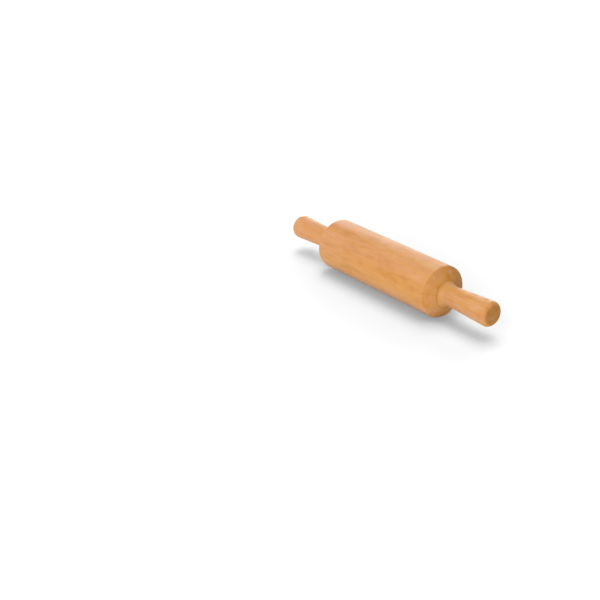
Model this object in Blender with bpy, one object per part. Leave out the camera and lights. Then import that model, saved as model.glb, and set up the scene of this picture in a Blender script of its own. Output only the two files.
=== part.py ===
"""A wooden rolling pin whose barrel turns on two ball bearings, between handles fixed to a steel axle.

The origin is the pin's centre, +X runs along its axis to the right handle, and +Z is up. All lengths are
in metres. Every round piece is a profile of (place along the axis, radius) points spun about the X axis,
with a flat of its facets facing straight down, so the barrel can lie on a table.
"""
import math

import bmesh
import bpy
from mathutils import Matrix, Vector

# Barrel, its length measured between the rims, where its shoulders start
BARREL_RADIUS = 0.0285
BARREL_LENGTH = 0.181
BARREL_RIM_ROUND = 0.0015
SHOULDER_SLOPE = math.radians(30)
BEARING_SEAT_CHAMFER = 0.0005

# Handles, their reach measured from the same rims
HANDLE_REACH = 0.075
HANDLE_ROOT_RADIUS = 0.0110
HANDLE_TIP_RADIUS = 0.0137
TIP_ROUND = 0.0052
FOOT_COVER = 0.0037
FOOT_EDGE_BREAK = 0.0002

# Axle, and the threaded sleeve that holds each handle on it
AXLE_RADIUS = 0.0050
AXLE_GRIP = 0.040
AXLE_END_CHAMFER = 0.0008
DRILL_POINT_ANGLE = math.radians(118)
INSERT_LENGTH = 0.015
INSERT_WALL = 0.0020
INSERT_FLANGE_REACH = 0.0009
INSERT_FLANGE_THICKNESS = 0.0010
SPACER_THICKNESS = 0.0010
SPACER_SETBACK = 0.0004

# Ball bearing
BEARING_BORE_RADIUS = 0.0040
BALL_RADIUS = 0.0020
BALL_COUNT = 7
RING_WALL = 0.00135
RING_CHAMFER = 0.0003
GROOVE_DEPTH = 0.00068
CAGE_WALL = 0.00045
CAGE_THICKNESS = 0.0015
CAGE_SNAP_REACH = 0.0012
SHIELD_THICKNESS = 0.00035
SHIELD_INSET = 0.00025
SHIELD_SEAT_DEPTH = 0.0008

# Clearances
SEAT_GAP = 0.0003
FOOT_GAP = 0.0004
BORE_GAP = 0.0015
SHIELD_GAP = 0.0003
BALL_GAP = 0.00015

# Facets round each kind of piece, and along its arcs
BARREL_FACETS = 64
HANDLE_FACETS = 40
RING_FACETS = 32
ROD_FACETS = 24
BALL_FACETS = 10
BALL_BANDS = 7
POCKET_FACETS = 16
RIM_STEPS = 4
TIP_STEPS = 6
FLARE_STEPS = 6
GROOVE_STEPS = 6

# Radii that follow
PITCH_RADIUS = BEARING_BORE_RADIUS + RING_WALL + BALL_GAP + BALL_RADIUS
GROOVE_RADIUS = BALL_RADIUS + BALL_GAP
BEARING_RADIUS = PITCH_RADIUS + GROOVE_RADIUS + RING_WALL
INNER_LAND_RADIUS = PITCH_RADIUS - GROOVE_RADIUS + GROOVE_DEPTH
OUTER_LAND_RADIUS = PITCH_RADIUS + GROOVE_RADIUS - GROOVE_DEPTH
SHIELD_SEAT_RADIUS = OUTER_LAND_RADIUS + SHIELD_SEAT_DEPTH
BEARING_SEAT_RADIUS = BEARING_RADIUS + SEAT_GAP
BARREL_BORE_RADIUS = AXLE_RADIUS + BORE_GAP
JOURNAL_RADIUS = BEARING_BORE_RADIUS - SEAT_GAP
INSERT_RADIUS = BEARING_BORE_RADIUS + INSERT_WALL
INSERT_FLANGE_RADIUS = INSERT_RADIUS + INSERT_FLANGE_REACH
FOOT_RADIUS = BEARING_SEAT_RADIUS + FOOT_COVER
FLARE_RADIUS = (FOOT_RADIUS - HANDLE_ROOT_RADIUS) / (1 - math.sin(SHOULDER_SLOPE))

# The shoulder: a cone from the barrel's rim to the handle's foot, whose line runs on past the gap to the foot
SHOULDER_TOP_RADIUS = FOOT_RADIUS + FOOT_GAP / math.tan(SHOULDER_SLOPE)
RIM_CENTRE = (BARREL_LENGTH / 2 - BARREL_RIM_ROUND, BARREL_RADIUS - BARREL_RIM_ROUND)
SHOULDER_FOOT = (RIM_CENTRE[0] + BARREL_RIM_ROUND * math.cos(SHOULDER_SLOPE),
                 RIM_CENTRE[1] + BARREL_RIM_ROUND * math.sin(SHOULDER_SLOPE))

# Places along the axis that follow, from the shoulder's top inwards
BARREL_END = SHOULDER_FOOT[0] + (SHOULDER_FOOT[1] - SHOULDER_TOP_RADIUS) * math.tan(SHOULDER_SLOPE)
HANDLE_TIP_PLACE = BARREL_LENGTH / 2 + HANDLE_REACH
FOOT_PLACE = BARREL_END + FOOT_GAP
SPACER_PLACE = FOOT_PLACE - SEAT_GAP - SPACER_THICKNESS
BEARING_OUTBOARD_FACE = SPACER_PLACE - SEAT_GAP
SHIELD_OUTER_FACE = GROOVE_RADIUS + CAGE_WALL + SHIELD_GAP + SHIELD_THICKNESS
BEARING_HALF_WIDTH = SHIELD_OUTER_FACE + SHIELD_INSET
BEARING_PLACE = BEARING_OUTBOARD_FACE - BEARING_HALF_WIDTH
BEARING_SEAT_PLACE = BEARING_PLACE - BEARING_HALF_WIDTH - SEAT_GAP

SHARP_ANGLE = math.radians(35)
WELD = 1e-6

SIDES = {"right": 0.0, "left": math.pi}


def clear_scene():
    for obj in list(bpy.data.objects):
        bpy.data.objects.remove(obj, do_unlink=True)


def finish(name, colour, roughness, metallic=0.0):
    """One material for a kind of piece."""
    material = bpy.data.materials.new(name)
    material.use_nodes = True
    shader = material.node_tree.nodes["Principled BSDF"]
    shader.inputs["Base Color"].default_value = (*colour, 1.0)
    shader.inputs["Roughness"].default_value = roughness
    shader.inputs["Metallic"].default_value = metallic
    return material


def arc(centre, radii, start, end, steps):
    """Points of an ellipse's arc round centre, each as (place, radius), from one angle to another."""
    angles = [start + (end - start) * step / steps for step in range(steps + 1)]
    return [
        (centre[0] + radii[0] * math.cos(angle), centre[1] + radii[1] * math.sin(angle))
        for angle in angles
    ]


def mirrored(points):
    """A half profile from its outer end inwards, followed by its mirror image at the other end."""
    return points + [(-place, radius) for place, radius in reversed(points)]


def turned(name, profile, facets, closed=True):
    """The mesh of a profile spun about the X axis: a closed loop, or a line whose ends lie on the axis."""
    bm = bmesh.new()
    half_facet = Matrix.Rotation(math.pi / facets, 3, "X")
    corners = [bm.verts.new(half_facet @ Vector((place, 0, radius))) for place, radius in profile]
    pairs = list(zip(corners, corners[1:]))
    if closed:
        pairs.append((corners[-1], corners[0]))
    edges = [bm.edges.new(pair) for pair in pairs]
    bmesh.ops.spin(bm, geom=corners + edges, cent=(0, 0, 0), axis=(1, 0, 0), dvec=(0, 0, 0),
                   angle=2 * math.pi, steps=facets, use_merge=True)
    return smooth_mesh(name, bm)


def smooth_mesh(name, bm):
    """The finished mesh: welded, facing out, and shaded smooth between its sharp edges."""
    bmesh.ops.remove_doubles(bm, verts=bm.verts, dist=WELD)
    bmesh.ops.dissolve_degenerate(bm, edges=bm.edges, dist=WELD)
    bmesh.ops.recalc_face_normals(bm, faces=bm.faces)
    mesh = bpy.data.meshes.new(name)
    bm.to_mesh(mesh)
    bm.free()
    mesh.shade_smooth()
    mesh.set_sharp_from_angle(angle=SHARP_ANGLE)
    return mesh


def placed(name, mesh, material, parent, place=0.0, turn=0.0):
    """An object on the axis, turned about Z so that a left-hand piece faces the other way."""
    if not mesh.materials:
        mesh.materials.append(material)
    obj = bpy.data.objects.new(name, mesh)
    bpy.context.scene.collection.objects.link(obj)
    obj.parent = parent
    obj.location = (place, 0, 0)
    obj.rotation_euler = (0, 0, turn)
    return obj


def pivot(name, place=0.0, parent=None):
    """An empty on the pin's axis, about which a group of pieces turns."""
    empty = bpy.data.objects.new(name, None)
    bpy.context.scene.collection.objects.link(empty)
    empty.parent = parent
    empty.location = (place, 0, 0)
    return empty


def barrel_mesh():
    """The roller: a cylinder with sloped shoulders, a through bore and a bearing seat in each end."""
    rim = arc(RIM_CENTRE, (BARREL_RIM_ROUND, BARREL_RIM_ROUND), math.pi / 2, SHOULDER_SLOPE, RIM_STEPS)
    outside = rim + [(BARREL_END, SHOULDER_TOP_RADIUS)]
    inside = [
        (BARREL_END, BEARING_SEAT_RADIUS + BEARING_SEAT_CHAMFER),
        (BARREL_END - BEARING_SEAT_CHAMFER, BEARING_SEAT_RADIUS),
        (BEARING_SEAT_PLACE, BEARING_SEAT_RADIUS),
        (BEARING_SEAT_PLACE, BARREL_BORE_RADIUS),
    ]
    return turned("barrel", mirrored(outside + inside), BARREL_FACETS)


def axle_mesh():
    """The rod, with a thinner journal at each end, whose shoulder stops the bearing's inner ring."""
    end = FOOT_PLACE + AXLE_GRIP
    half = [
        (end, 0.0),
        (end, JOURNAL_RADIUS - AXLE_END_CHAMFER),
        (end - AXLE_END_CHAMFER, JOURNAL_RADIUS),
        (BEARING_SEAT_PLACE, JOURNAL_RADIUS),
        (BEARING_SEAT_PLACE, AXLE_RADIUS),
    ]
    return turned("axle", mirrored(half), ROD_FACETS, closed=False)


def handle_mesh():
    """A handle from its foot outwards: a flare, a shank that thickens to a soft tip, and a stepped bore inside.

    The flare is an arc that starts along the shoulder's cone and ends along the axis."""
    tip = HANDLE_TIP_PLACE - FOOT_PLACE
    flare_centre = (FLARE_RADIUS * math.cos(SHOULDER_SLOPE), HANDLE_ROOT_RADIUS + FLARE_RADIUS)
    flare = arc(flare_centre, (FLARE_RADIUS, FLARE_RADIUS),
                math.pi + SHOULDER_SLOPE, 1.5 * math.pi, FLARE_STEPS)
    tip_round = arc((tip - TIP_ROUND, HANDLE_TIP_RADIUS - TIP_ROUND), (TIP_ROUND, TIP_ROUND),
                    math.pi / 2, 0, TIP_STEPS)
    outside = [(0.0, FOOT_RADIUS - FOOT_EDGE_BREAK)] + flare[1:] + tip_round

    flange_radius = INSERT_FLANGE_RADIUS + SEAT_GAP
    sleeve_radius = INSERT_RADIUS + SEAT_GAP
    flange_depth = INSERT_FLANGE_THICKNESS + SEAT_GAP
    sleeve_depth = INSERT_LENGTH + SEAT_GAP
    rod_depth = AXLE_GRIP + SEAT_GAP
    rod_radius = JOURNAL_RADIUS + SEAT_GAP
    point_depth = rod_depth + rod_radius / math.tan(DRILL_POINT_ANGLE / 2)
    bore = [
        (point_depth, 0.0),
        (rod_depth, rod_radius),
        (sleeve_depth, rod_radius),
        (sleeve_depth, sleeve_radius),
        (flange_depth, sleeve_radius),
        (flange_depth, flange_radius),
        (0.0, flange_radius),
    ]
    return turned("handle", bore + outside + [(tip, 0.0)], HANDLE_FACETS, closed=False)


def insert_mesh():
    """The threaded sleeve in a handle's foot, from its flanged mouth inwards, drawn without its threads."""
    profile = [
        (0.0, BEARING_BORE_RADIUS),
        (0.0, INSERT_FLANGE_RADIUS),
        (INSERT_FLANGE_THICKNESS, INSERT_FLANGE_RADIUS),
        (INSERT_FLANGE_THICKNESS, INSERT_RADIUS),
        (INSERT_LENGTH - RING_CHAMFER, INSERT_RADIUS),
        (INSERT_LENGTH, INSERT_RADIUS - RING_CHAMFER),
        (INSERT_LENGTH, BEARING_BORE_RADIUS),
    ]
    return turned("insert", profile, ROD_FACETS)


def spacer_mesh():
    """The washer between the bearing's inner ring and the handle's foot."""
    outer = INNER_LAND_RADIUS - SPACER_SETBACK
    half = SPACER_THICKNESS / 2
    return turned("spacer", mirrored([(half, BEARING_BORE_RADIUS), (half, outer)]), ROD_FACETS)


def ball_groove(land_radius, side):
    """The groove's arc between its two lands, about the ball's centre; side is 1 outside the balls, -1 inside."""
    rise = math.asin(abs(land_radius - PITCH_RADIUS) / GROOVE_RADIUS)
    return arc((0.0, PITCH_RADIUS), (GROOVE_RADIUS, GROOVE_RADIUS),
               side * rise, side * (math.pi - rise), GROOVE_STEPS)


def inner_ring_mesh():
    """The ring on the axle, with its ball groove outside."""
    bore_end = [
        (-BEARING_HALF_WIDTH, INNER_LAND_RADIUS),
        (-BEARING_HALF_WIDTH, BEARING_BORE_RADIUS + RING_CHAMFER),
        (-BEARING_HALF_WIDTH + RING_CHAMFER, BEARING_BORE_RADIUS),
    ]
    groove = ball_groove(INNER_LAND_RADIUS, -1)
    return turned("inner_ring", groove + mirrored(bore_end), RING_FACETS)


def outer_ring_mesh():
    """The ring in the barrel, with its ball groove inside and a seat for a shield at each face."""
    shield_step = SHIELD_OUTER_FACE - SHIELD_THICKNESS - BALL_GAP
    end = [
        (-shield_step, OUTER_LAND_RADIUS),
        (-shield_step, SHIELD_SEAT_RADIUS),
        (-BEARING_HALF_WIDTH, SHIELD_SEAT_RADIUS),
        (-BEARING_HALF_WIDTH, BEARING_RADIUS - RING_CHAMFER),
        (-BEARING_HALF_WIDTH + RING_CHAMFER, BEARING_RADIUS),
    ]
    groove = ball_groove(OUTER_LAND_RADIUS, 1)
    return turned("outer_ring", groove + mirrored(end), RING_FACETS)


def shield_mesh():
    """A dust shield: a thin disc held in the outer ring, just clear of the inner one."""
    half = SHIELD_THICKNESS / 2
    inner = INNER_LAND_RADIUS + SHIELD_GAP
    outer = SHIELD_SEAT_RADIUS - SEAT_GAP
    return turned("shield", mirrored([(half, inner), (half, outer)]), RING_FACETS)


def ball_mesh():
    """One ball, with its poles on the pin's axis direction."""
    bm = bmesh.new()
    bmesh.ops.create_uvsphere(bm, u_segments=BALL_FACETS, v_segments=BALL_BANDS, radius=BALL_RADIUS,
                              matrix=Matrix.Rotation(math.pi / 2, 4, "Y"))
    return smooth_mesh("ball", bm)


def ball_angle(index):
    """The angle of a ball round the axis, measured from straight up."""
    return 2 * math.pi * index / BALL_COUNT


def cage_cutter():
    """Round pockets that run out from the axis, one for each ball."""
    bm = bmesh.new()
    length = 2 * CAGE_THICKNESS
    for index in range(BALL_COUNT):
        outwards = Matrix.Rotation(ball_angle(index), 4, "X") @ Matrix.Translation((0, 0, PITCH_RADIUS))
        bmesh.ops.create_cone(bm, cap_ends=True, segments=POCKET_FACETS, radius1=GROOVE_RADIUS,
                              radius2=GROOVE_RADIUS, depth=length, matrix=outwards)
    return smooth_mesh("cage_pockets", bm)


def cage(name, parent, material):
    """The snap-in cage: a ring with a pocket for each ball, open on one side so that it clips over them."""
    inner = PITCH_RADIUS - CAGE_THICKNESS / 2
    outer = PITCH_RADIUS + CAGE_THICKNESS / 2
    back = -(GROOVE_RADIUS + CAGE_WALL)
    profile = [(back, inner), (back, outer), (CAGE_SNAP_REACH, outer), (CAGE_SNAP_REACH, inner)]
    obj = placed(name, turned("cage_ring", profile, RING_FACETS), material, parent)
    cutter = placed(name + "_pockets", cage_cutter(), material, parent)
    cutter.hide_render = True
    cutter.display_type = "WIRE"
    pockets = obj.modifiers.new("pockets", "BOOLEAN")
    pockets.operation = "DIFFERENCE"
    pockets.solver = "EXACT"
    pockets.object = cutter
    return obj


def build():
    clear_scene()
    barrel_wood = finish("barrel_wood", (0.77, 0.36, 0.11), 0.42)
    handle_wood = finish("handle_wood", (0.78, 0.37, 0.12), 0.40)
    axle_steel = finish("axle_steel", (0.62, 0.62, 0.63), 0.30, metallic=1.0)
    bearing_steel = finish("bearing_steel", (0.55, 0.55, 0.57), 0.18, metallic=1.0)
    shield_steel = finish("shield_steel", (0.66, 0.66, 0.67), 0.35, metallic=1.0)
    cage_nylon = finish("cage_nylon", (0.80, 0.77, 0.68), 0.45)
    insert_brass = finish("insert_brass", (0.78, 0.60, 0.26), 0.30, metallic=1.0)

    handles_pivot = pivot("handles_and_axle")
    barrel_pivot = pivot("turning_barrel", parent=handles_pivot)
    placed("axle", axle_mesh(), axle_steel, handles_pivot)
    placed("barrel", barrel_mesh(), barrel_wood, barrel_pivot)

    handle, insert, spacer = handle_mesh(), insert_mesh(), spacer_mesh()
    inner_ring, outer_ring, shield, ball = inner_ring_mesh(), outer_ring_mesh(), shield_mesh(), ball_mesh()
    spacer_middle = SPACER_PLACE + SPACER_THICKNESS / 2
    shield_middle = SHIELD_OUTER_FACE - SHIELD_THICKNESS / 2
    for side, turn in SIDES.items():
        way = round(math.cos(turn))
        placed(side + "_handle", handle, handle_wood, handles_pivot, way * FOOT_PLACE, turn)
        placed(side + "_handle_insert", insert, insert_brass, handles_pivot, way * FOOT_PLACE, turn)
        placed(side + "_spacer", spacer, axle_steel, handles_pivot, way * spacer_middle, turn)
        middle = way * BEARING_PLACE
        placed(side + "_inner_ring", inner_ring, bearing_steel, handles_pivot, middle, turn)
        placed(side + "_outer_ring", outer_ring, bearing_steel, barrel_pivot, middle, turn)
        outboard, inboard = way * (BEARING_PLACE + shield_middle), way * (BEARING_PLACE - shield_middle)
        placed(side + "_outboard_shield", shield, shield_steel, barrel_pivot, outboard, turn)
        placed(side + "_inboard_shield", shield, shield_steel, barrel_pivot, inboard, turn)

        cage_pivot = pivot(side + "_turning_cage", middle, handles_pivot)
        cage_pivot.rotation_euler = (0, 0, turn)
        cage(side + "_cage", cage_pivot, cage_nylon)
        for index in range(BALL_COUNT):
            piece = placed(f"{side}_ball_{index + 1}", ball, bearing_steel, cage_pivot)
            piece.rotation_euler = (ball_angle(index), 0, 0)
            piece.location = Matrix.Rotation(ball_angle(index), 3, "X").col[2] * PITCH_RADIUS


build()
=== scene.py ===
# %% [markdown]
# # A rolling pin whose barrel turns on ball bearings
#
# A turning-barrel rolling pin is three pieces of wood and a little hidden metal. The barrel is bored right
# through and rolls on two ball bearings. A steel axle carries the bearings, and a wooden handle is screwed
# on each of its ends, so the hands hold still while the barrel rolls.
#
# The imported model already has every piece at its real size, with many-sided surfaces. It is the frame for
# this lesson: nothing in it is moved. Every round piece is made again here as a fine turned surface, and each
# piece gets a finish worked out from its own coordinates.

import math

import bpy
import numpy as np
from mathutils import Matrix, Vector


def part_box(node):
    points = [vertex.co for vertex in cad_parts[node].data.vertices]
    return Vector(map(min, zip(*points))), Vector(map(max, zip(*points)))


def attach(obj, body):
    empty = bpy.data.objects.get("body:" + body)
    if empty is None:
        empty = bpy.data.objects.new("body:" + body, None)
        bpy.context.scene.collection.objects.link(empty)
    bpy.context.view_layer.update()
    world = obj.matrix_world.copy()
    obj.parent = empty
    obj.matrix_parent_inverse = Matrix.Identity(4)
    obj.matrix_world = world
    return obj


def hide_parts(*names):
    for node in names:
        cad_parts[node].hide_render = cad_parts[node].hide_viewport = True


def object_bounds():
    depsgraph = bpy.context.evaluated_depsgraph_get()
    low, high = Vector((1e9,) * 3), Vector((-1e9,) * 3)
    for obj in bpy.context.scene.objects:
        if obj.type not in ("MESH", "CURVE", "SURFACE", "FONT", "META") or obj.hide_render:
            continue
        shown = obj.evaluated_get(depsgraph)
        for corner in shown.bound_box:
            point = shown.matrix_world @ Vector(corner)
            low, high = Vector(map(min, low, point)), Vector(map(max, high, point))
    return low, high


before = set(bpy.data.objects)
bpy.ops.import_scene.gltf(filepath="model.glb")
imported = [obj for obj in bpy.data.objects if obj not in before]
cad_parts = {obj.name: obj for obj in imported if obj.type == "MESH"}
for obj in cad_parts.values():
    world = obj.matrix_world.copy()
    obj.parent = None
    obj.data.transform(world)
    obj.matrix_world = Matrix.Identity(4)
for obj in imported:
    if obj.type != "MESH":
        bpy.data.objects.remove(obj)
cad_low, cad_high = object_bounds()
print("the packed pin is", [round(1000 * side, 1) for side in cad_high - cad_low], "mm")

# %% [markdown]
# ## The camera
#
# The picture was taken from a little above the pin and well to one side of it, so that the right handle comes
# towards the viewer. The place, the tilt and the lens were solved from the outlines of the pin in the
# photograph. The camera could also be aimed at the pin itself and its picture shifted, but the photograph was
# framed round the floor in front of the pin, and only an aim at that floor gives the same perspective.
#
# Lengths are in metres. Only the width of the sensor and the lens are in millimetres, as Blender has them.

# %% Set up the camera
CAMERA_PLACE = Vector((0.9477, -0.7907, 0.4785))
CAMERA_TURN = math.radians(54.66)
CAMERA_DIP = math.radians(22.86)
SENSOR_WIDTH = 36.0
PICTURE_WIDTH = 600
FOCAL_PIXELS = 1197.7

camera_data = bpy.data.cameras.new("camera")
camera_data.sensor_width = SENSOR_WIDTH
camera_data.lens = SENSOR_WIDTH * FOCAL_PIXELS / PICTURE_WIDTH
camera = bpy.data.objects.new("camera", camera_data)
bpy.context.scene.collection.objects.link(camera)
aim = Vector((
    -math.sin(CAMERA_TURN) * math.cos(CAMERA_DIP),
    math.cos(CAMERA_TURN) * math.cos(CAMERA_DIP),
    -math.sin(CAMERA_DIP),
))
camera.location = CAMERA_PLACE
camera.rotation_euler = aim.to_track_quat("-Z", "Y").to_euler()
bpy.context.scene.camera = camera
print("the lens is", round(camera_data.lens, 1), "mm, aimed along", [round(part, 3) for part in aim])

# %% [markdown]
# ## Surfaces of revolution
#
# Wood on a lathe is a profile spun about an axis. Blender has a Screw modifier and a spin operator for that,
# but a formula shows best what such a surface is: each point of the profile runs round a circle. Two numbers
# place a point, its step along the profile and its angle round the axis, so the whole surface is a grid and
# numpy can work it out at once.

# %% Helpers for turned surfaces
SMOOTH_COLUMNS = 256
SHARP_EDGE = math.radians(30)


def arc(centre, radii, start, end, steps):
    """Points of an ellipse's arc: centre + (radii[0] cos a, radii[1] sin a), for a from start to end."""
    angle = np.linspace(start, end, steps + 1)
    return np.column_stack([centre[0] + radii[0] * np.cos(angle), centre[1] + radii[1] * np.sin(angle)])


def line(start, end, steps):
    """Evenly spaced points between two (place, radius) points, both ends included."""
    return np.linspace(start, end, steps + 1)


def grid_faces(numbers):
    """Four-cornered faces between the neighbouring rows and columns of a grid of vertex numbers."""
    corners = [numbers[:-1, :-1], numbers[:-1, 1:], numbers[1:, 1:], numbers[1:, :-1]]
    return np.stack(corners, axis=-1).reshape(-1, 4)


def volume_of(points, faces):
    """The space that a closed surface holds: a sixth of the sum of a . (b x c) over its triangles."""
    fans = [faces[:, [0, 1, 2]], faces[:, [0, 2, 3]]]
    a, b, c = (points[np.concatenate([fan[:, k] for fan in fans])] for k in range(3))
    return np.einsum("ij,ij->i", a, np.cross(b, c)).sum() / 6


def surface_object(name, points, faces):
    """An object at the origin from an array of points and one of faces, turned to face outwards.

    A face at a pole has one vertex number twice, so it drops one of the two and becomes a triangle."""
    if volume_of(points, faces) < 0:
        faces = faces[:, ::-1]
    following = np.roll(faces, -1, axis=1)
    repeats = faces == following
    at_pole = repeats.any(axis=1)
    triangles = faces[at_pole][~repeats[at_pole]].reshape(-1, 3)
    mesh = bpy.data.meshes.new(name)
    mesh.from_pydata(points.tolist(), [], faces[~at_pole].tolist() + triangles.tolist())
    mesh.shade_smooth()
    mesh.set_sharp_from_angle(angle=SHARP_EDGE)
    piece = bpy.data.objects.new(name, mesh)
    bpy.context.scene.collection.objects.link(piece)
    print(name, "has", len(points), "points and", len(mesh.polygons), "faces")
    return piece


def turned(name, profile, loop=False, columns=SMOOTH_COLUMNS, centre=(0.0, 0.0, 0.0)):
    """A profile of (place, radius) rows carried round the X axis.

    At the angle a its points are centre + (place, radius sin a, radius cos a). A loop's last row joins its
    first. The two ends of a line lie on the axis, where all columns share one vertex."""
    angle = np.linspace(0, 2 * np.pi, columns, endpoint=False)
    place, radius = profile[:, :1], profile[:, 1:]
    grid = np.stack(np.broadcast_arrays(place, radius * np.sin(angle), radius * np.cos(angle)), axis=-1)
    points = grid.reshape(-1, 3) + centre
    numbers = np.arange(len(points)).reshape(len(profile), columns)
    if not loop:
        numbers[0], numbers[-1] = numbers[0, 0], numbers[-1, 0]
    numbers = np.column_stack([numbers, numbers[:, :1]])
    if loop:
        numbers = np.vstack([numbers, numbers[:1]])
    used, faces = np.unique(grid_faces(numbers), return_inverse=True)
    return surface_object(name, points[used], faces.reshape(-1, 4))


def both_ends(half):
    """A half profile, from one end to the middle, followed by its mirror image."""
    return np.vstack([half, half[::-1] * [-1, 1]])


def stand_in(piece, node_name, body):
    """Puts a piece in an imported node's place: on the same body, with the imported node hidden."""
    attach(piece, body)
    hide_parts(node_name)


# %% [markdown]
# ## The barrel
#
# The barrel is a straight cylinder of light wood. At each end a small rounding leads from the cylinder to a
# sloped shoulder, a shallow cone that rises towards the handle. A flat end would be one even tone in the
# photograph, but the real one is light on the side of the main light and dark on the other, as a cone is.
# A stepped bore runs through the barrel: narrow in the middle, where the axle passes with room to spare, and
# wide at each end, where a bearing's outer ring is pressed in. The profile is one closed loop, outside from
# end to end and back through the bore. The shoulder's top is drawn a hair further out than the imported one, as
# the joint line beside the handle is finer than a many-sided model can safely hold.

# %% Turn the barrel
RIM_PLACE = 0.0905
RIM_ROUND = 0.0015
SHOULDER_SLOPE = math.radians(30)
RIM_STEPS = 10
SEAT_CHAMFER = 0.0005
FIT_GAP = 0.0003
BORE_RADIUS = 0.0065
RING_RADIUS = 0.0110
FINE_JOINT = 0.0002

barrel_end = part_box("right_handle")[0].x - FINE_JOINT
barrel_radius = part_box("barrel")[1].z
ring_low, ring_high = (corner.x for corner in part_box("right_outer_ring"))
seat_radius = RING_RADIUS + FIT_GAP
seat_place = ring_low - FIT_GAP
rim = arc((RIM_PLACE - RIM_ROUND, barrel_radius - RIM_ROUND), (RIM_ROUND, RIM_ROUND),
          math.pi / 2, SHOULDER_SLOPE, RIM_STEPS)


def shoulder_radius(place):
    """The cone's radius at a place along the axis: it falls by place / tan(slope) from the rim outwards."""
    return rim[-1, 1] - (place - rim[-1, 0]) / math.tan(SHOULDER_SLOPE)


half_barrel = np.vstack([
    rim,
    [(barrel_end, shoulder_radius(barrel_end)),
     (barrel_end, seat_radius + SEAT_CHAMFER),
     (barrel_end - SEAT_CHAMFER, seat_radius),
     (seat_place, seat_radius),
     (seat_place, BORE_RADIUS)],
])
barrel = turned("turned_barrel", both_ends(half_barrel), loop=True)
stand_in(barrel, "barrel", "barrel")
print("the shoulders rise", round(1000 * (barrel_end - RIM_PLACE), 2), "mm past the rims")

# %% [markdown]
# ## The handles
#
# Each handle is turned from one piece. Its foot covers the bearing and carries the shoulder's line on across
# a thin gap. From there an arc sweeps into the shank: it starts along the shoulder's cone and ends along the
# axis, as a gouge leaves it, and these two directions and the two radii leave only one arc that fits. The
# shank thickens steadily towards the tip, where the palm holds it, and the tip is rounded over to a small
# flat. The bore is blind: a wide part for the threaded sleeve, then a drilled hole with a pointed end for the
# axle. The left handle is the right one's mirror image.

# %% Turn the handles
ROOT_RADIUS = 0.0110
GRIP_RADIUS = 0.01365
TIP_ROUND = 0.0052
FOOT_EDGE = 0.0001
JOURNAL_RADIUS = 0.0037
SLEEVE_RADIUS = 0.0060
FLANGE_RADIUS = 0.0069
FLANGE_THICKNESS = 0.0010
DRILL_HALF_ANGLE = math.radians(59)
FLARE_STEPS = 24
SHANK_STEPS = 24
TIP_STEPS = 20
SIDES = {"right": 1, "left": -1}

foot_low, tip_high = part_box("right_handle")
foot_place, tip_place = foot_low.x, tip_high.x
foot_radius = shoulder_radius(foot_place)
flare_radius = (foot_radius - ROOT_RADIUS) / (1 - math.sin(SHOULDER_SLOPE))
sleeve_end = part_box("right_handle_insert")[1].x
axle_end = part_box("axle")[1].x
print("the flare's arc has a radius of", round(1000 * flare_radius, 2), "mm")


def handle_profile():
    """A handle's profile from the drill's point, out through the bore and the foot, and along to the tip."""
    rod = JOURNAL_RADIUS + FIT_GAP
    sleeve = SLEEVE_RADIUS + FIT_GAP
    flange = FLANGE_RADIUS + FIT_GAP
    bore = [
        (axle_end + FIT_GAP + rod / math.tan(DRILL_HALF_ANGLE), 0.0),
        (axle_end + FIT_GAP, rod),
        (sleeve_end + FIT_GAP, rod),
        (sleeve_end + FIT_GAP, sleeve),
        (foot_place + FLANGE_THICKNESS + FIT_GAP, sleeve),
        (foot_place + FLANGE_THICKNESS + FIT_GAP, flange),
        (foot_place, flange),
    ]
    edge = [(foot_place, foot_radius - FOOT_EDGE)]
    flare = arc((foot_place + flare_radius * math.cos(SHOULDER_SLOPE), ROOT_RADIUS + flare_radius),
                (flare_radius, flare_radius), math.pi + SHOULDER_SLOPE, 1.5 * math.pi, FLARE_STEPS)
    shank = line(flare[-1], (tip_place - TIP_ROUND, GRIP_RADIUS), SHANK_STEPS)
    tip = arc((tip_place - TIP_ROUND, GRIP_RADIUS - TIP_ROUND), (TIP_ROUND, TIP_ROUND),
              math.pi / 2, 0, TIP_STEPS)
    return np.vstack([bore, edge, flare[1:], shank[1:-1], tip, [(tip_place, 0.0)]])


handles = {}
for side, way in SIDES.items():
    handles[side] = turned(f"turned_{side}_handle", handle_profile() * [way, 1])
    stand_in(handles[side], f"{side}_handle", "handles_and_axle")

# %% [markdown]
# ## The axle and its fittings
#
# The axle is a rod that is turned down at both ends. Its shoulders stop the bearings' inner rings, a spacer
# keeps each handle off its bearing, and each end is screwed into a flanged sleeve in the handle. All of them
# are hidden, but a pin that is taken apart should look right as well.

# %% Turn the axle and its fittings
METAL_COLUMNS = 128
AXLE_RADIUS = 0.0050
RING_BORE = 0.0040
METAL_CHAMFER = 0.0003
AXLE_CHAMFER = 0.0008
SPACER_RADIUS = 0.00563

hidden = {}
half_axle = [
    (axle_end, 0.0),
    (axle_end, JOURNAL_RADIUS - AXLE_CHAMFER),
    (axle_end - AXLE_CHAMFER, JOURNAL_RADIUS),
    (seat_place, JOURNAL_RADIUS),
    (seat_place, AXLE_RADIUS),
]
hidden["axle"] = turned("turned_axle", both_ends(np.array(half_axle)), columns=METAL_COLUMNS)
stand_in(hidden["axle"], "axle", "handles_and_axle")


def washer(low, high, inner, outer):
    """The four corners of a flat ring's profile."""
    return np.array([(low, inner), (low, outer), (high, outer), (high, inner)])


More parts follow.
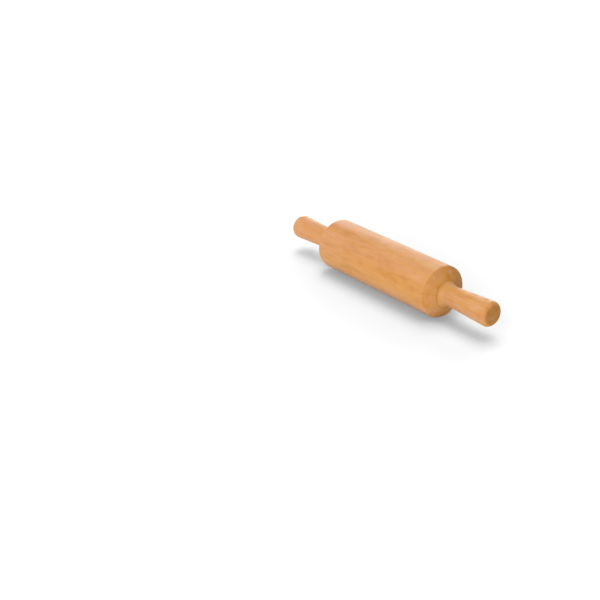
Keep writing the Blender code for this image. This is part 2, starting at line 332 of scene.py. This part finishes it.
spacer_low, spacer_high = (corner.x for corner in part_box("right_spacer"))
sleeve = np.array([
    (foot_place, RING_BORE),
    (foot_place, FLANGE_RADIUS),
    (foot_place + FLANGE_THICKNESS, FLANGE_RADIUS),
    (foot_place + FLANGE_THICKNESS, SLEEVE_RADIUS),
    (sleeve_end - METAL_CHAMFER, SLEEVE_RADIUS),
    (sleeve_end, SLEEVE_RADIUS - METAL_CHAMFER),
    (sleeve_end, RING_BORE),
])
fittings = {
    "spacer": (washer(spacer_low, spacer_high, RING_BORE, SPACER_RADIUS), "axle_steel"),
    "handle_insert": (sleeve, "insert_brass"),
}
for side, way in SIDES.items():
    for part, (profile, slot) in fittings.items():
        name = f"{side}_{part}"
        hidden[name] = turned(f"turned_{name}", profile * [way, 1], loop=True, columns=METAL_COLUMNS)
        stand_in(hidden[name], name, "handles_and_axle")

# %% [markdown]
# ## The ball bearings
#
# A ball bearing is drawn from the circle on which its balls' centres lie. Each ring has a groove whose arc is
# centred on the balls and a little wider than they are. Flat lands cut the arc off on both sides, so that the
# balls can't leave it. Two thin shields sit in steps of the outer ring and stay just clear of the inner one.
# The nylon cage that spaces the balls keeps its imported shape, because it isn't a surface of revolution.

# %% Turn the bearings
BALL_RADIUS = 0.0020
GROOVE_RADIUS = 0.00215
PITCH_RADIUS = 0.0075
GROOVE_DEPTH = 0.00068
GROOVE_STEPS = 24
SHIELD_STEP_RADIUS = 0.00977
SHIELD_STEP_GAP = 0.00015

inner_land = PITCH_RADIUS - GROOVE_RADIUS + GROOVE_DEPTH
outer_land = PITCH_RADIUS + GROOVE_RADIUS - GROOVE_DEPTH
bearing_place = (ring_low + ring_high) / 2
half_width = ring_high - bearing_place
shield_low, shield_high = (corner.x - bearing_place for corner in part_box("right_outboard_shield"))
shield_step = shield_low - SHIELD_STEP_GAP


def groove(land, side):
    """The arc about a ball's centre from land to land, outside the balls where side is 1, inside at -1.

    It starts at the angle whose sine is the land's distance from the balls' circle over the arc's radius."""
    rise = math.asin(abs(land - PITCH_RADIUS) / GROOVE_RADIUS)
    return arc((0, PITCH_RADIUS), (GROOVE_RADIUS, GROOVE_RADIUS),
               side * rise, side * (math.pi - rise), GROOVE_STEPS)


inner_end = np.array([
    (-half_width, inner_land),
    (-half_width, RING_BORE + METAL_CHAMFER),
    (-half_width + METAL_CHAMFER, RING_BORE),
])
outer_end = np.array([
    (-shield_step, outer_land),
    (-shield_step, SHIELD_STEP_RADIUS),
    (-half_width, SHIELD_STEP_RADIUS),
    (-half_width, RING_RADIUS - METAL_CHAMFER),
    (-half_width + METAL_CHAMFER, RING_RADIUS),
])
inner_ring = np.vstack([groove(inner_land, -1), both_ends(inner_end)])
outer_ring = np.vstack([groove(outer_land, 1), both_ends(outer_end)])
shield = washer(shield_low, shield_high, inner_land + FIT_GAP, SHIELD_STEP_RADIUS - FIT_GAP)
bearing_parts = {
    "inner_ring": (inner_ring, "handles_and_axle", "bearing_steel"),
    "outer_ring": (outer_ring, "barrel", "bearing_steel"),
    "outboard_shield": (shield, "barrel", "shield_steel"),
    "inboard_shield": (shield * [-1, 1], "barrel", "shield_steel"),
}
for side, way in SIDES.items():
    for part, (profile, body, slot) in bearing_parts.items():
        name = f"{side}_{part}"
        shifted = (profile + [bearing_place, 0]) * [way, 1]
        hidden[name] = turned(f"turned_{name}", shifted, loop=True, columns=METAL_COLUMNS)
        stand_in(hidden[name], name, body)

# %% [markdown]
# A ball is a half circle spun about its own middle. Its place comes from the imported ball. Each ball rides on
# a body of its own, because it spins by itself as it rolls between the two rings.

# %% Turn the balls
BALL_COLUMNS = 48
BALL_ROWS = 24

half_circle = arc((0, 0), (BALL_RADIUS, BALL_RADIUS), 0, math.pi, BALL_ROWS)
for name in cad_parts:
    if "ball" in name:
        centre = sum(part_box(name), Vector()) / 2
        hidden[name] = turned(f"turned_{name}", half_circle, columns=BALL_COLUMNS, centre=tuple(centre))
        stand_in(hidden[name], name, name)

# %% [markdown]
# ## Building materials from nodes
#
# A procedural material is a chain of small nodes. Each helper here adds one step of such a chain and returns
# the socket that the next step needs, so that a material reads like a formula. Every pattern starts from the
# piece's own coordinates, so it stays on the piece when that turns.

# %% Helpers for node materials
NOISE_SPAN = (0.3, 0.7)


def node(tree, kind, **settings):
    """A new shader node with its settings."""
    made = tree.nodes.new("ShaderNode" + kind)
    for name, value in settings.items():
        setattr(made, name, value)
    return made


def feed(tree, socket, source):
    """Links another node's output to a socket, or sets the socket to a plain value."""
    if isinstance(source, bpy.types.NodeSocket):
        tree.links.new(source, socket)
    else:
        socket.default_value = source


def calculate(tree, operation, *sources):
    """The output of a Math node for one, two or three sources."""
    made = node(tree, "Math", operation=operation)
    for socket, source in zip(made.inputs, sources):
        feed(tree, socket, source)
    return made.outputs["Value"]


def calculate_vector(tree, operation, *sources):
    """The output of a Vector Math node for up to three sources: a vector, or a plain value for LENGTH."""
    made = node(tree, "VectorMath", operation=operation)
    for socket, source in zip(made.inputs, sources):
        feed(tree, socket, source)
    return made.outputs["Value" if operation == "LENGTH" else "Vector"]


def scaled(tree, source, span, low, high):
    """A value that goes smoothly from low to high while its source crosses span, and is held beyond it."""
    made = node(tree, "MapRange", interpolation_type="SMOOTHSTEP")
    for name, value in zip(("Value", "From Min", "From Max", "To Min", "To Max"), (source, *span, low, high)):
        feed(tree, made.inputs[name], value)
    return made.outputs["Result"]


def blended(tree, way, factor, first, second):
    """The colour of a Mix node: first, changed by second in the given way as far as factor says."""
    made = node(tree, "Mix", data_type="RGBA", blend_type=way)
    sockets = [socket for socket in made.inputs if socket.enabled]
    for socket, source in zip(sockets, (factor, first, second)):
        feed(tree, socket, source)
    return next(socket for socket in made.outputs if socket.enabled)


def ramp(tree, source, stops, interpolation="LINEAR"):
    """The colour of a Color Ramp whose stops are (position, colour) from the lowest to the highest."""
    made = node(tree, "ValToRGB")
    made.color_ramp.interpolation = interpolation
    for element, (position, colour) in zip(made.color_ramp.elements, (stops[0], stops[-1])):
        element.position = position
        element.color = colour
    for position, colour in stops[1:-1]:
        made.color_ramp.elements.new(position).color = colour
    feed(tree, made.inputs["Fac"], source)
    return made.outputs["Color"]


def grain_noise(tree, place, along, across, detail, shift=0.0, output="Fac"):
    """Noise at (x / along, y / across, z / across) + shift, so its blobs are along metres long in X."""
    stretch = node(tree, "Mapping", vector_type="POINT")
    feed(tree, stretch.inputs["Vector"], place)
    stretch.inputs["Scale"].default_value = (1 / along, 1 / across, 1 / across)
    stretch.inputs["Location"].default_value = (shift, shift, shift)
    made = node(tree, "TexNoise", noise_dimensions="3D")
    feed(tree, made.inputs["Vector"], stretch.outputs["Vector"])
    made.inputs["Scale"].default_value = 1.0
    made.inputs["Detail"].default_value = detail
    return made.outputs[output]


def dent(tree, shader, height, strength, depth):
    """Tilts the surface as if it were raised by height times depth metres, as far as strength says."""
    bump = node(tree, "Bump")
    bump.inputs["Strength"].default_value = strength
    bump.inputs["Distance"].default_value = depth
    feed(tree, bump.inputs["Height"], height)
    feed(tree, shader.inputs["Normal"], bump.outputs["Normal"])


def new_material(name):
    """An empty node material, with its tree, its shader and the object's coordinates."""
    material = bpy.data.materials.new(name)
    material.use_nodes = True
    tree = material.node_tree
    shader = tree.nodes["Principled BSDF"]
    coordinates = node(tree, "TexCoord")
    return material, tree, shader, coordinates


# %% [markdown]
# ## The grain of the wood
#
# Wood is a solid pattern, so its colour is worked out in space and the lathe's surface simply cuts through
# it. An image wrapped round the pin would stretch on the shoulders and show a seam. Growth rings are thin
# shells round the tree's heart, which lies well outside a turned blank: the distance from that line, wrapped
# every few millimetres, gives rings that run as long streaks along the barrel and as arcs across its end. The
# same place is first pushed a millimetre or two aside by slow noise, so that the grain wavers. Noise that is
# stretched along the grain adds streaks, blotches, fibres and short dark flecks.

# %% Lay the grain
RING_SPACING = 0.0038
RING_DARKENS = (0.20, 0.80)
RING_LIGHTENS = (0.80, 1.0)
WAVER_REACH = (0.0, 0.007, 0.007)
ACROSS_GRAIN = (0.0, 1.0, 1.0)

# Each noise has a length along the grain and a thickness across it, both in metres, a detail and a shift.
WAVER = (0.070, 0.018, 2.0, 0)
STREAKS = (0.070, 0.0085, 2.0, 3)
BLOTCHES = (0.016, 0.0050, 2.0, 5)
PATCHES = (0.120, 0.024, 1.0, 7)
DRIFT = (0.160, 0.011, 2.0, 9)
FIBRES = (0.012, 0.0006, 2.0, 11)
FLECKS = (0.0030, 0.00045, 0.0, 17)
FAN = (1.0, 0.11, 3.0, 23)

FLECK_SPAN = (0.66, 0.78)
LATE_WOOD_SHARE = 0.12
STREAK_SHARE = 1.1
BLOTCH_SHARE = 1.2
PATCH_SHARE = 0.4
FIBRE_SHARE = 0.20
FLECK_SHARE = 0.10
LIGHTEST_SUM = 0.99


def wood_noise(tree, place, pattern, shift, output="Fac"):
    """One of the wood's noises, moved by its own shift and by the shift of the piece."""
    along, across, detail, own_shift = pattern
    return grain_noise(tree, place, along, across, detail, shift + own_shift, output)


def wavering(tree, place, shift):
    """The place pushed aside in Y and Z: place + (noise - 0.5) * WAVER_REACH."""
    push = calculate_vector(tree, "SUBTRACT", wood_noise(tree, place, WAVER, shift, "Color"), (0.5, 0.5, 0.5))
    return calculate_vector(tree, "MULTIPLY_ADD", push, WAVER_REACH, place)


def late_wood(tree, place, heart, tilt):
    """How deep a place lies in the dark late wood of its growth ring, from 0 to 1.

    The distance from the heart over RING_SPACING counts the rings. Its fraction runs through one ring, which
    darkens slowly and lightens fast."""
    leaning = node(tree, "Mapping", vector_type="POINT")
    feed(tree, leaning.inputs["Vector"], place)
    leaning.inputs["Location"].default_value = (0.0, -heart[0], -heart[1])
    leaning.inputs["Rotation"].default_value = (0.0, *tilt)
    across = calculate_vector(tree, "MULTIPLY", leaning.outputs["Vector"], ACROSS_GRAIN)
    rings = calculate(tree, "DIVIDE", calculate_vector(tree, "LENGTH", across), RING_SPACING)
    within = calculate(tree, "FRACT", rings)
    darkening = scaled(tree, within, RING_DARKENS, 0.0, 1.0)
    return calculate(tree, "MULTIPLY", darkening, scaled(tree, within, RING_LIGHTENS, 1.0, 0.0))


def grain_depth(tree, place, bent, rings, fibres, flecks, shift):
    """How dark the grain is: the sum of each pattern times its share, less the sum where it is lightest."""
    layers = (
        (wood_noise(tree, bent, STREAKS, shift), STREAK_SHARE),
        (wood_noise(tree, bent, BLOTCHES, shift), BLOTCH_SHARE),
        (wood_noise(tree, place, PATCHES, shift), PATCH_SHARE),
        (fibres, FIBRE_SHARE),
        (flecks, FLECK_SHARE),
    )
    depth = calculate(tree, "MULTIPLY", rings, LATE_WOOD_SHARE)
    for layer, share in layers:
        depth = calculate(tree, "MULTIPLY_ADD", layer, share, depth)
    return calculate(tree, "SUBTRACT", depth, LIGHTEST_SUM)


# %% [markdown]
# ## The wood's colour and lacquer
#
# The grain's depth runs through three tones of light wood, and one more slow noise drifts them between tan
# and orange. End grain drinks more lacquer, so the more squarely a face cuts the fibres, the darker and
# duller it is, and faint marks fan out over it from the axis. Part of that darkening is painted shade: the
# faces that look along the axis are darkened more than their grain alone would make them, as they get less
# of the lights. Elsewhere the lacquer is rubbed to a satin.
# Each piece is cut from another tree, so no two are alike.

# %% Mix the lacquered wood
WOOD_LIGHT = (0.622, 0.323, 0.124, 1)
WOOD_MIDDLE = (0.599, 0.278, 0.086, 1)
WOOD_DARK = (0.533, 0.229, 0.061, 1)
TAN_TONE = (1.01, 1.01, 1.30, 1)
ORANGE_TONE = (1.00, 0.98, 0.76, 1)
DRIFT_SPAN = (0.32, 0.68)
# The stops below darken faces that cut the fibres: partly the end grain's own tone, partly painted shade.
END_GRAIN_AND_SHADE_NONE = (1, 1, 1, 1)
END_GRAIN_AND_SHADE_SLOPED = (0.93, 0.91, 0.86, 1)
END_GRAIN_AND_SHADE_SQUARE = (0.70, 0.68, 0.57, 1)
END_GRAIN_AND_SHADE_START = 0.20
FAN_SPAN = (0.2, 0.8)
FAN_CONTRAST = (0.96, 1.04)
LACQUER_ROUGHNESS = (0.42, 0.54)
LACQUER_GLOSS = 0.32
END_GRAIN_GLOSS = 0.05
DULLING_SPAN = (0.3, 0.85)
FLECK_HEIGHT = -0.6
WOOD_BUMP = 0.12
WOOD_BUMP_DEPTH = 0.0003
WOODS = {
    # name: heart (y, z) in metres, tilt (about Y, about Z) in radians, shift of the noise
    "barrel": ((0.062, -0.085), (0.020, 0.012), 44.0),
    "right_handle": ((-0.048, -0.050), (0.015, -0.020), 36.0),
    "left_handle": ((0.055, 0.040), (-0.018, 0.015), 28.0),
}


def end_grain_and_painted_shade(tree, colour, place, squarely, shift):
    """The side's colour, darkened as squarely as a face cuts the fibres, partly for the end grain's tone and
    partly as painted shade, and marked by a fan of noise.
    """
    stops = (
        (END_GRAIN_AND_SHADE_START, END_GRAIN_AND_SHADE_NONE),
        (math.cos(SHOULDER_SLOPE), END_GRAIN_AND_SHADE_SLOPED),
        (1.0, END_GRAIN_AND_SHADE_SQUARE),
    )
    # Darkened partly for the end grain's tone and partly as painted shade on faces that look along the axis.
    darker = blended(tree, "MULTIPLY", 1.0, colour, ramp(tree, squarely, stops))
    spoke = calculate_vector(tree, "NORMALIZE", calculate_vector(tree, "MULTIPLY", place, ACROSS_GRAIN))
    marks = scaled(tree, wood_noise(tree, spoke, FAN, shift), NOISE_SPAN, *FAN_CONTRAST)
    return blended(tree, "MULTIPLY", scaled(tree, squarely, FAN_SPAN, 0.0, 1.0), darker, marks)


def lacquered_wood(name, heart, tilt, shift):
    """Wood whose tree had its heart at heart = (y, z), leaning by tilt = (about Y, about Z).

    Its colour is the grain's tone times the drifting tone, and the end grain's tone with painted shade times
    both."""
    material, tree, shader, coordinates = new_material(name)
    place = coordinates.outputs["Object"]
    bent = wavering(tree, place, shift)
    fibres = wood_noise(tree, place, FIBRES, shift)
    flecks = scaled(tree, wood_noise(tree, place, FLECKS, shift), FLECK_SPAN, 0.0, 1.0)
    depth = grain_depth(tree, place, bent, late_wood(tree, bent, heart, tilt), fibres, flecks, shift)
    tint = ramp(tree, depth, ((0.0, WOOD_LIGHT), (0.5, WOOD_MIDDLE), (1.0, WOOD_DARK)), "EASE")
    drift = scaled(tree, wood_noise(tree, bent, DRIFT, shift), DRIFT_SPAN, 1.0, 0.0)
    tone = blended(tree, "MIX", drift, ORANGE_TONE, TAN_TONE)
    side = blended(tree, "MULTIPLY", 1.0, tint, tone)

    facing = node(tree, "SeparateXYZ")
    feed(tree, facing.inputs["Vector"], coordinates.outputs["Normal"])
    squarely = calculate(tree, "ABSOLUTE", facing.outputs["X"])
    feed(tree, shader.inputs["Base Color"], end_grain_and_painted_shade(tree, side, place, squarely, shift))
    feed(tree, shader.inputs["Roughness"], scaled(tree, fibres, NOISE_SPAN, *LACQUER_ROUGHNESS))
    gloss = scaled(tree, squarely, DULLING_SPAN, LACQUER_GLOSS, END_GRAIN_GLOSS)
    feed(tree, shader.inputs["Specular IOR Level"], gloss)
    height = calculate(tree, "MULTIPLY_ADD", flecks, FLECK_HEIGHT, fibres)
    dent(tree, shader, height, WOOD_BUMP, WOOD_BUMP_DEPTH)
    print(name, "has growth rings", 1000 * RING_SPACING, "mm apart")
    return material


wooden = {"barrel": barrel, **{f"{side}_handle": piece for side, piece in handles.items()}}
for name, piece in wooden.items():
    piece.data.materials.append(lacquered_wood(f"{name}_lacquered_wood", *WOODS[name]))

# %% [markdown]
# ## Hidden metal and nylon
#
# The axle is drawn steel rod, with fine scratches along its length. Bearing rings and balls are ground, so
# their scratches run round the axis and are hardly there. Shields are pressed from sheet. The sleeves are
# turned brass, and the cages are moulded nylon. The same noise makes them all: only its stretch, and how
# strongly it changes the colour, the roughness and the height, are different.

# %% Finish the hidden pieces
METALS = {
    # name: colour, roughness, length in X and width of the tool marks in metres, strength of their bump
    "drawn_steel": ((0.60, 0.60, 0.62), 0.32, 0.030, 0.0004, 0.04),
    "ground_steel": ((0.58, 0.58, 0.60), 0.16, 0.0002, 0.004, 0.04),
    "pressed_steel": ((0.64, 0.64, 0.66), 0.38, 0.002, 0.002, 0.10),
    "turned_brass": ((0.78, 0.58, 0.26), 0.28, 0.0004, 0.006, 0.08),
}
MARK_SHADE = 0.86
MARK_POLISH = 0.8
MARK_BLUNTNESS = 1.25
MARK_DEPTH = 0.00005
NYLON_DARK = (0.74, 0.69, 0.55, 1)
NYLON_LIGHT = (0.84, 0.81, 0.70, 1)
NYLON_ROUGHNESS = (0.40, 0.52)
MOTTLE_SIZE = 0.0015
MILKINESS = 0.15
MILKY_DEPTH = 0.001
FINE_DETAIL = 3.0


def worked_metal(name, colour, roughness, along, across, bump):
    """Metal whose tool marks are along metres long in X and across metres wide."""
    material, tree, shader, coordinates = new_material(name)
    marks = grain_noise(tree, coordinates.outputs["Object"], along, across, FINE_DETAIL)
    shade = [MARK_SHADE * part for part in colour]
    feed(tree, shader.inputs["Base Color"], ramp(tree, marks, ((0, (*shade, 1)), (1, (*colour, 1)))))
    spread = scaled(tree, marks, NOISE_SPAN, MARK_POLISH * roughness, MARK_BLUNTNESS * roughness)
    feed(tree, shader.inputs["Roughness"], spread)
    dent(tree, shader, marks, bump, MARK_DEPTH)
    shader.inputs["Metallic"].default_value = 1.0
    return material


def moulded_nylon(name):
    """Milky nylon with a faint mottle from the mould."""
    material, tree, shader, coordinates = new_material(name)
    mottle = grain_noise(tree, coordinates.outputs["Object"], MOTTLE_SIZE, MOTTLE_SIZE, FINE_DETAIL)
    feed(tree, shader.inputs["Base Color"], ramp(tree, mottle, ((0, NYLON_DARK), (1, NYLON_LIGHT))))
    feed(tree, shader.inputs["Roughness"], scaled(tree, mottle, NOISE_SPAN, *NYLON_ROUGHNESS))
    shader.inputs["Subsurface Weight"].default_value = MILKINESS
    shader.inputs["Subsurface Radius"].default_value = (MILKY_DEPTH, MILKY_DEPTH, MILKY_DEPTH)
    return material


materials = {name: worked_metal(name, *settings) for name, settings in METALS.items()}
materials["moulded_nylon"] = moulded_nylon("moulded_nylon")
finishes = {
    "axle": "drawn_steel",
    "spacer": "drawn_steel",
    "ring": "ground_steel",
    "ball": "ground_steel",
    "shield": "pressed_steel",
    "insert": "turned_brass",
    "cage": "moulded_nylon",
}
cages = {name: piece for name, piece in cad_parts.items() if "cage" in name}
for name, piece in {**hidden, **cages}.items():
    finish = next(finishes[word] for word in finishes if word in name)
    piece.data.materials.clear()
    piece.data.materials.append(materials[finish])
print(len(hidden) + len(cages), "hidden pieces have their finish")

# %% [markdown]
# ## The floor
#
# The pin lies on a plain white floor in soft studio light. A backdrop that curves up behind the object is the
# usual way to hide the horizon, but here the camera looks down, so a large flat floor fills the picture. It
# glows a little by itself, like a light table.

# %% Lay the floor
FLOOR_SIDE = 12.0
FLOOR_WHITE = 0.80
FLOOR_GLOW = 0.166
FLOOR_ROUGHNESS = 0.9

half_floor = FLOOR_SIDE / 2
floor_mesh = bpy.data.meshes.new("floor")
floor_mesh.from_pydata(
    [(x * half_floor, y * half_floor, cad_low.z) for x, y in ((-1, -1), (1, -1), (1, 1), (-1, 1))],
    [], [(0, 1, 2, 3)])
floor = bpy.data.objects.new("floor", floor_mesh)
bpy.context.scene.collection.objects.link(floor)
floor_material, _, floor_shader, _ = new_material("pale_floor")
floor_shader.inputs["Base Color"].default_value = (FLOOR_WHITE, FLOOR_WHITE, FLOOR_WHITE, 1)
floor_shader.inputs["Roughness"].default_value = FLOOR_ROUGHNESS
floor_shader.inputs["Specular IOR Level"].default_value = 0.0
floor_shader.inputs["Emission Color"].default_value = (1, 1, 1, 1)
floor_shader.inputs["Emission Strength"].default_value = FLOOR_GLOW
floor_mesh.materials.append(floor_material)
print("the floor lies at", round(1000 * cad_low.z, 2), "mm")

# %% [markdown]
# ## The lights
#
# Lights above and behind the pin throw its broad soft shadow towards the viewer, and the low ones among them
# brighten the top edges. A narrow light low at the front, a little to the left, lights the left half of the
# near shoulder. None stands at the right side, so the right edges are darker. Each light is a disc at
# infinity: it lights the whole floor evenly, where a nearby panel would leave the corners grey.

# %% Hang the lights
LIGHTS = (
    # name, strength, spread, turn to the left of the camera, height (all angles in degrees)
    ("low_front_light", 1.44, 15, 15, 8),
    ("middle_front_light", 1.02, 30, 30, 25),
    ("wide_top_light", 1.00, 80, 0, 90),
    ("high_back_light", 0.76, 30, 180, 60),
    ("middle_back_right_light", 0.71, 30, 210, 25),
    ("low_back_light", 0.61, 30, 180, 8),
    ("overhead_light", 0.55, 30, 0, 90),
    ("middle_back_left_light", 0.48, 30, 120, 25),
    ("middle_back_light", 0.33, 30, 180, 25),
)

upward = Vector((0, 0, 1))
toward_camera = Vector((-aim.x, -aim.y, 0)).normalized()
camera_left = upward.cross(aim).normalized()
lights = []
for name, strength, spread, turn, height in LIGHTS:
    level = math.cos(math.radians(turn)) * toward_camera + math.sin(math.radians(turn)) * camera_left
    shining_from = math.cos(math.radians(height)) * level + math.sin(math.radians(height)) * upward
    light = bpy.data.lights.new(name, "SUN")
    light.energy = strength
    light.angle = math.radians(spread)
    lights.append(light)
    lamp = bpy.data.objects.new(name, light)
    lamp.rotation_euler = shining_from.to_track_quat("Z", "Y").to_euler()
    bpy.context.scene.collection.objects.link(lamp)
print(len(lights), "lights hang round the pin")

# %% [markdown]
# ## A neutral shadow
#
# Beside warm wood a white floor turns warm too, but the photograph's shadow is a plain grey, as such pictures
# are often toned afterwards. So the pin still casts its shadow, but light that bounces about doesn't see it.
# The lights then have to be sampled by themselves alone, without multiple importance sampling, or bounced
# rays would reach them straight through the pin and thin its shadow.

# %% Keep the bounced light neutral
for piece in wooden.values():
    piece.visible_diffuse = False
for light in lights:
    light.cycles.use_multiple_importance_sampling = False
print(len(wooden), "wooden pieces lend the floor no colour")

# %% [markdown]
# ## The background
#
# A lower camera sees past the floor's edge, and should see the same white there. But a white world would
# also light the pin from all sides and wash out the shadow. A Light Path node tells the two apart: the world
# shines at full strength for the camera's own rays and not at all for the others.

# %% Whiten the background
world = bpy.data.worlds.new("studio")
world.use_nodes = True
bpy.context.scene.world = world
background = world.node_tree.nodes["Background"]
background.inputs["Color"].default_value = (1, 1, 1, 1)
light_path = node(world.node_tree, "LightPath")
feed(world.node_tree, background.inputs["Strength"], light_path.outputs["Is Camera Ray"])
bpy.context.scene.view_settings.view_transform = "Standard"
print("the world is white for the camera alone")
